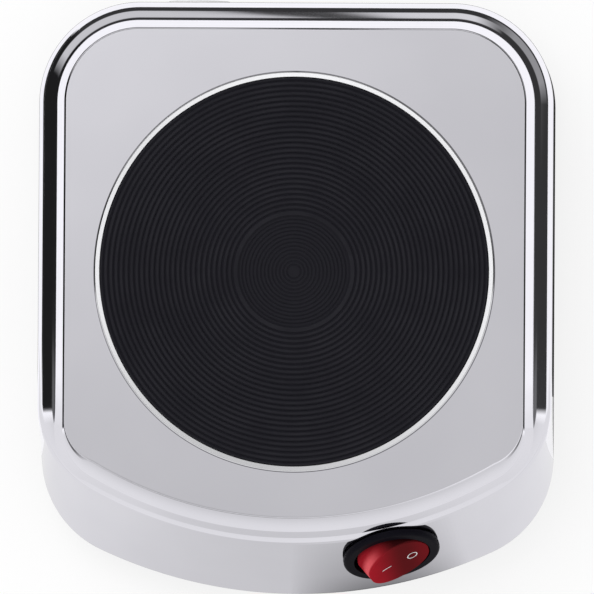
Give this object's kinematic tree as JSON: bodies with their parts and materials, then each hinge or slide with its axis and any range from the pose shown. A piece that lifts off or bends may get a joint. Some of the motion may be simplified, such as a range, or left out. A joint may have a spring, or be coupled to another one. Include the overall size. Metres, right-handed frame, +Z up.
{
  "type": "hot plate burner",
  "caption": "Small tabletop electric hot plate: polished steel housing with sloping bowed front, ridged black round plate, red rocker switch, rubber feet.",
  "frame": {"origin": "on the ground plane under the middle of the object's bounding box", "axes": "+Z up, -Y towards the front wall with the switch, +X to the right seen from the front"},
  "size_m": [0.1288, 0.1484, 0.045],
  "materials": {
    "polished_steel": "mirror polished stainless steel",
    "plate_black": "black heat-proof coating, concentric turning marks",
    "element_sheath": "dull heat-tinted sheath",
    "insulation": "pressed mineral board",
    "aluminised": "dull aluminised sheet",
    "ceramic": "glazed white ceramic",
    "zinc": "zinc plated steel",
    "base_paint": "satin black paint",
    "foot_rubber": "moulded black rubber",
    "brass": "bare brass",
    "bakelite": "dark phenolic",
    "gland_nylon": "pale grey moulded nylon",
    "switch_black": "semi-gloss black moulding",
    "rocker_red": "translucent red moulding",
    "lamp_glass": "clear glass envelope",
    "lead_brown": "silicone insulation",
    "lead_white": "glass braid sleeve",
    "lead_blue": "silicone insulation",
    "lead_green": "silicone insulation"
  },
  "bodies": {
    "housing": {"housing_shell": "polished_steel", "trim_ring": "polished_steel", "heating_plate": "plate_black", "heating_element": "element_sheath", "insulation_disc": "insulation", "heat_shield": "aluminised", "bush_inner_leg": "ceramic", "bush_outer_leg": "ceramic", "centre_stud": "zinc", "shield_washer": "zinc", "shield_nut": "zinc", "base_washer": "zinc", "base_nut": "zinc", "base_plate": "base_paint", "base_screws": "zinc", "foot_screws": "zinc", "cutout_screws": "zinc", "block_screws": "zinc", "foot_front_left": "foot_rubber", "foot_front_right": "foot_rubber", "foot_back_left": "foot_rubber", "foot_back_right": "foot_rubber", "cord_gland": "gland_nylon", "terminal_block": "ceramic", "clamp_screws": "brass", "earth_tag": "zinc", "earth_screw": "brass", "thermal_cutout": "bakelite", "cutout_tab_in": "brass", "cutout_tab_out": "brass", "switch_body": "switch_black", "terminal_common": "brass", "terminal_load": "brass", "terminal_lamp": "brass", "live_lead": "lead_brown", "switched_lead": "lead_brown", "element_lead": "lead_white", "neutral_lead": "lead_blue", "lamp_lead": "lead_blue", "earth_lead": "lead_green"},
    "rocker": {"switch_rocker": "rocker_red", "neon_lamp": "lamp_glass"},
    "contact": {"contact_lever": "brass"}
  },
  "joints": [
    {"name": "rocker_tilt", "type": "hinge", "parent": "housing", "child": "rocker", "pos_m": [0.02388, -0.06232, 0.02749], "axis": [0.0927, -0.4079, -0.9083], "range_deg": [0, 34]},
    {"name": "contact_tilt", "type": "hinge", "parent": "housing", "child": "contact", "pos_m": [0.02201, -0.05409, 0.0236], "axis": [0.0927, -0.4079, -0.9083], "range_deg": [-12, 0]}
  ],
  "couplings": [
    {"joint": "contact_tilt", "follows": "rocker_tilt", "ratio": -0.35294}
  ]
}
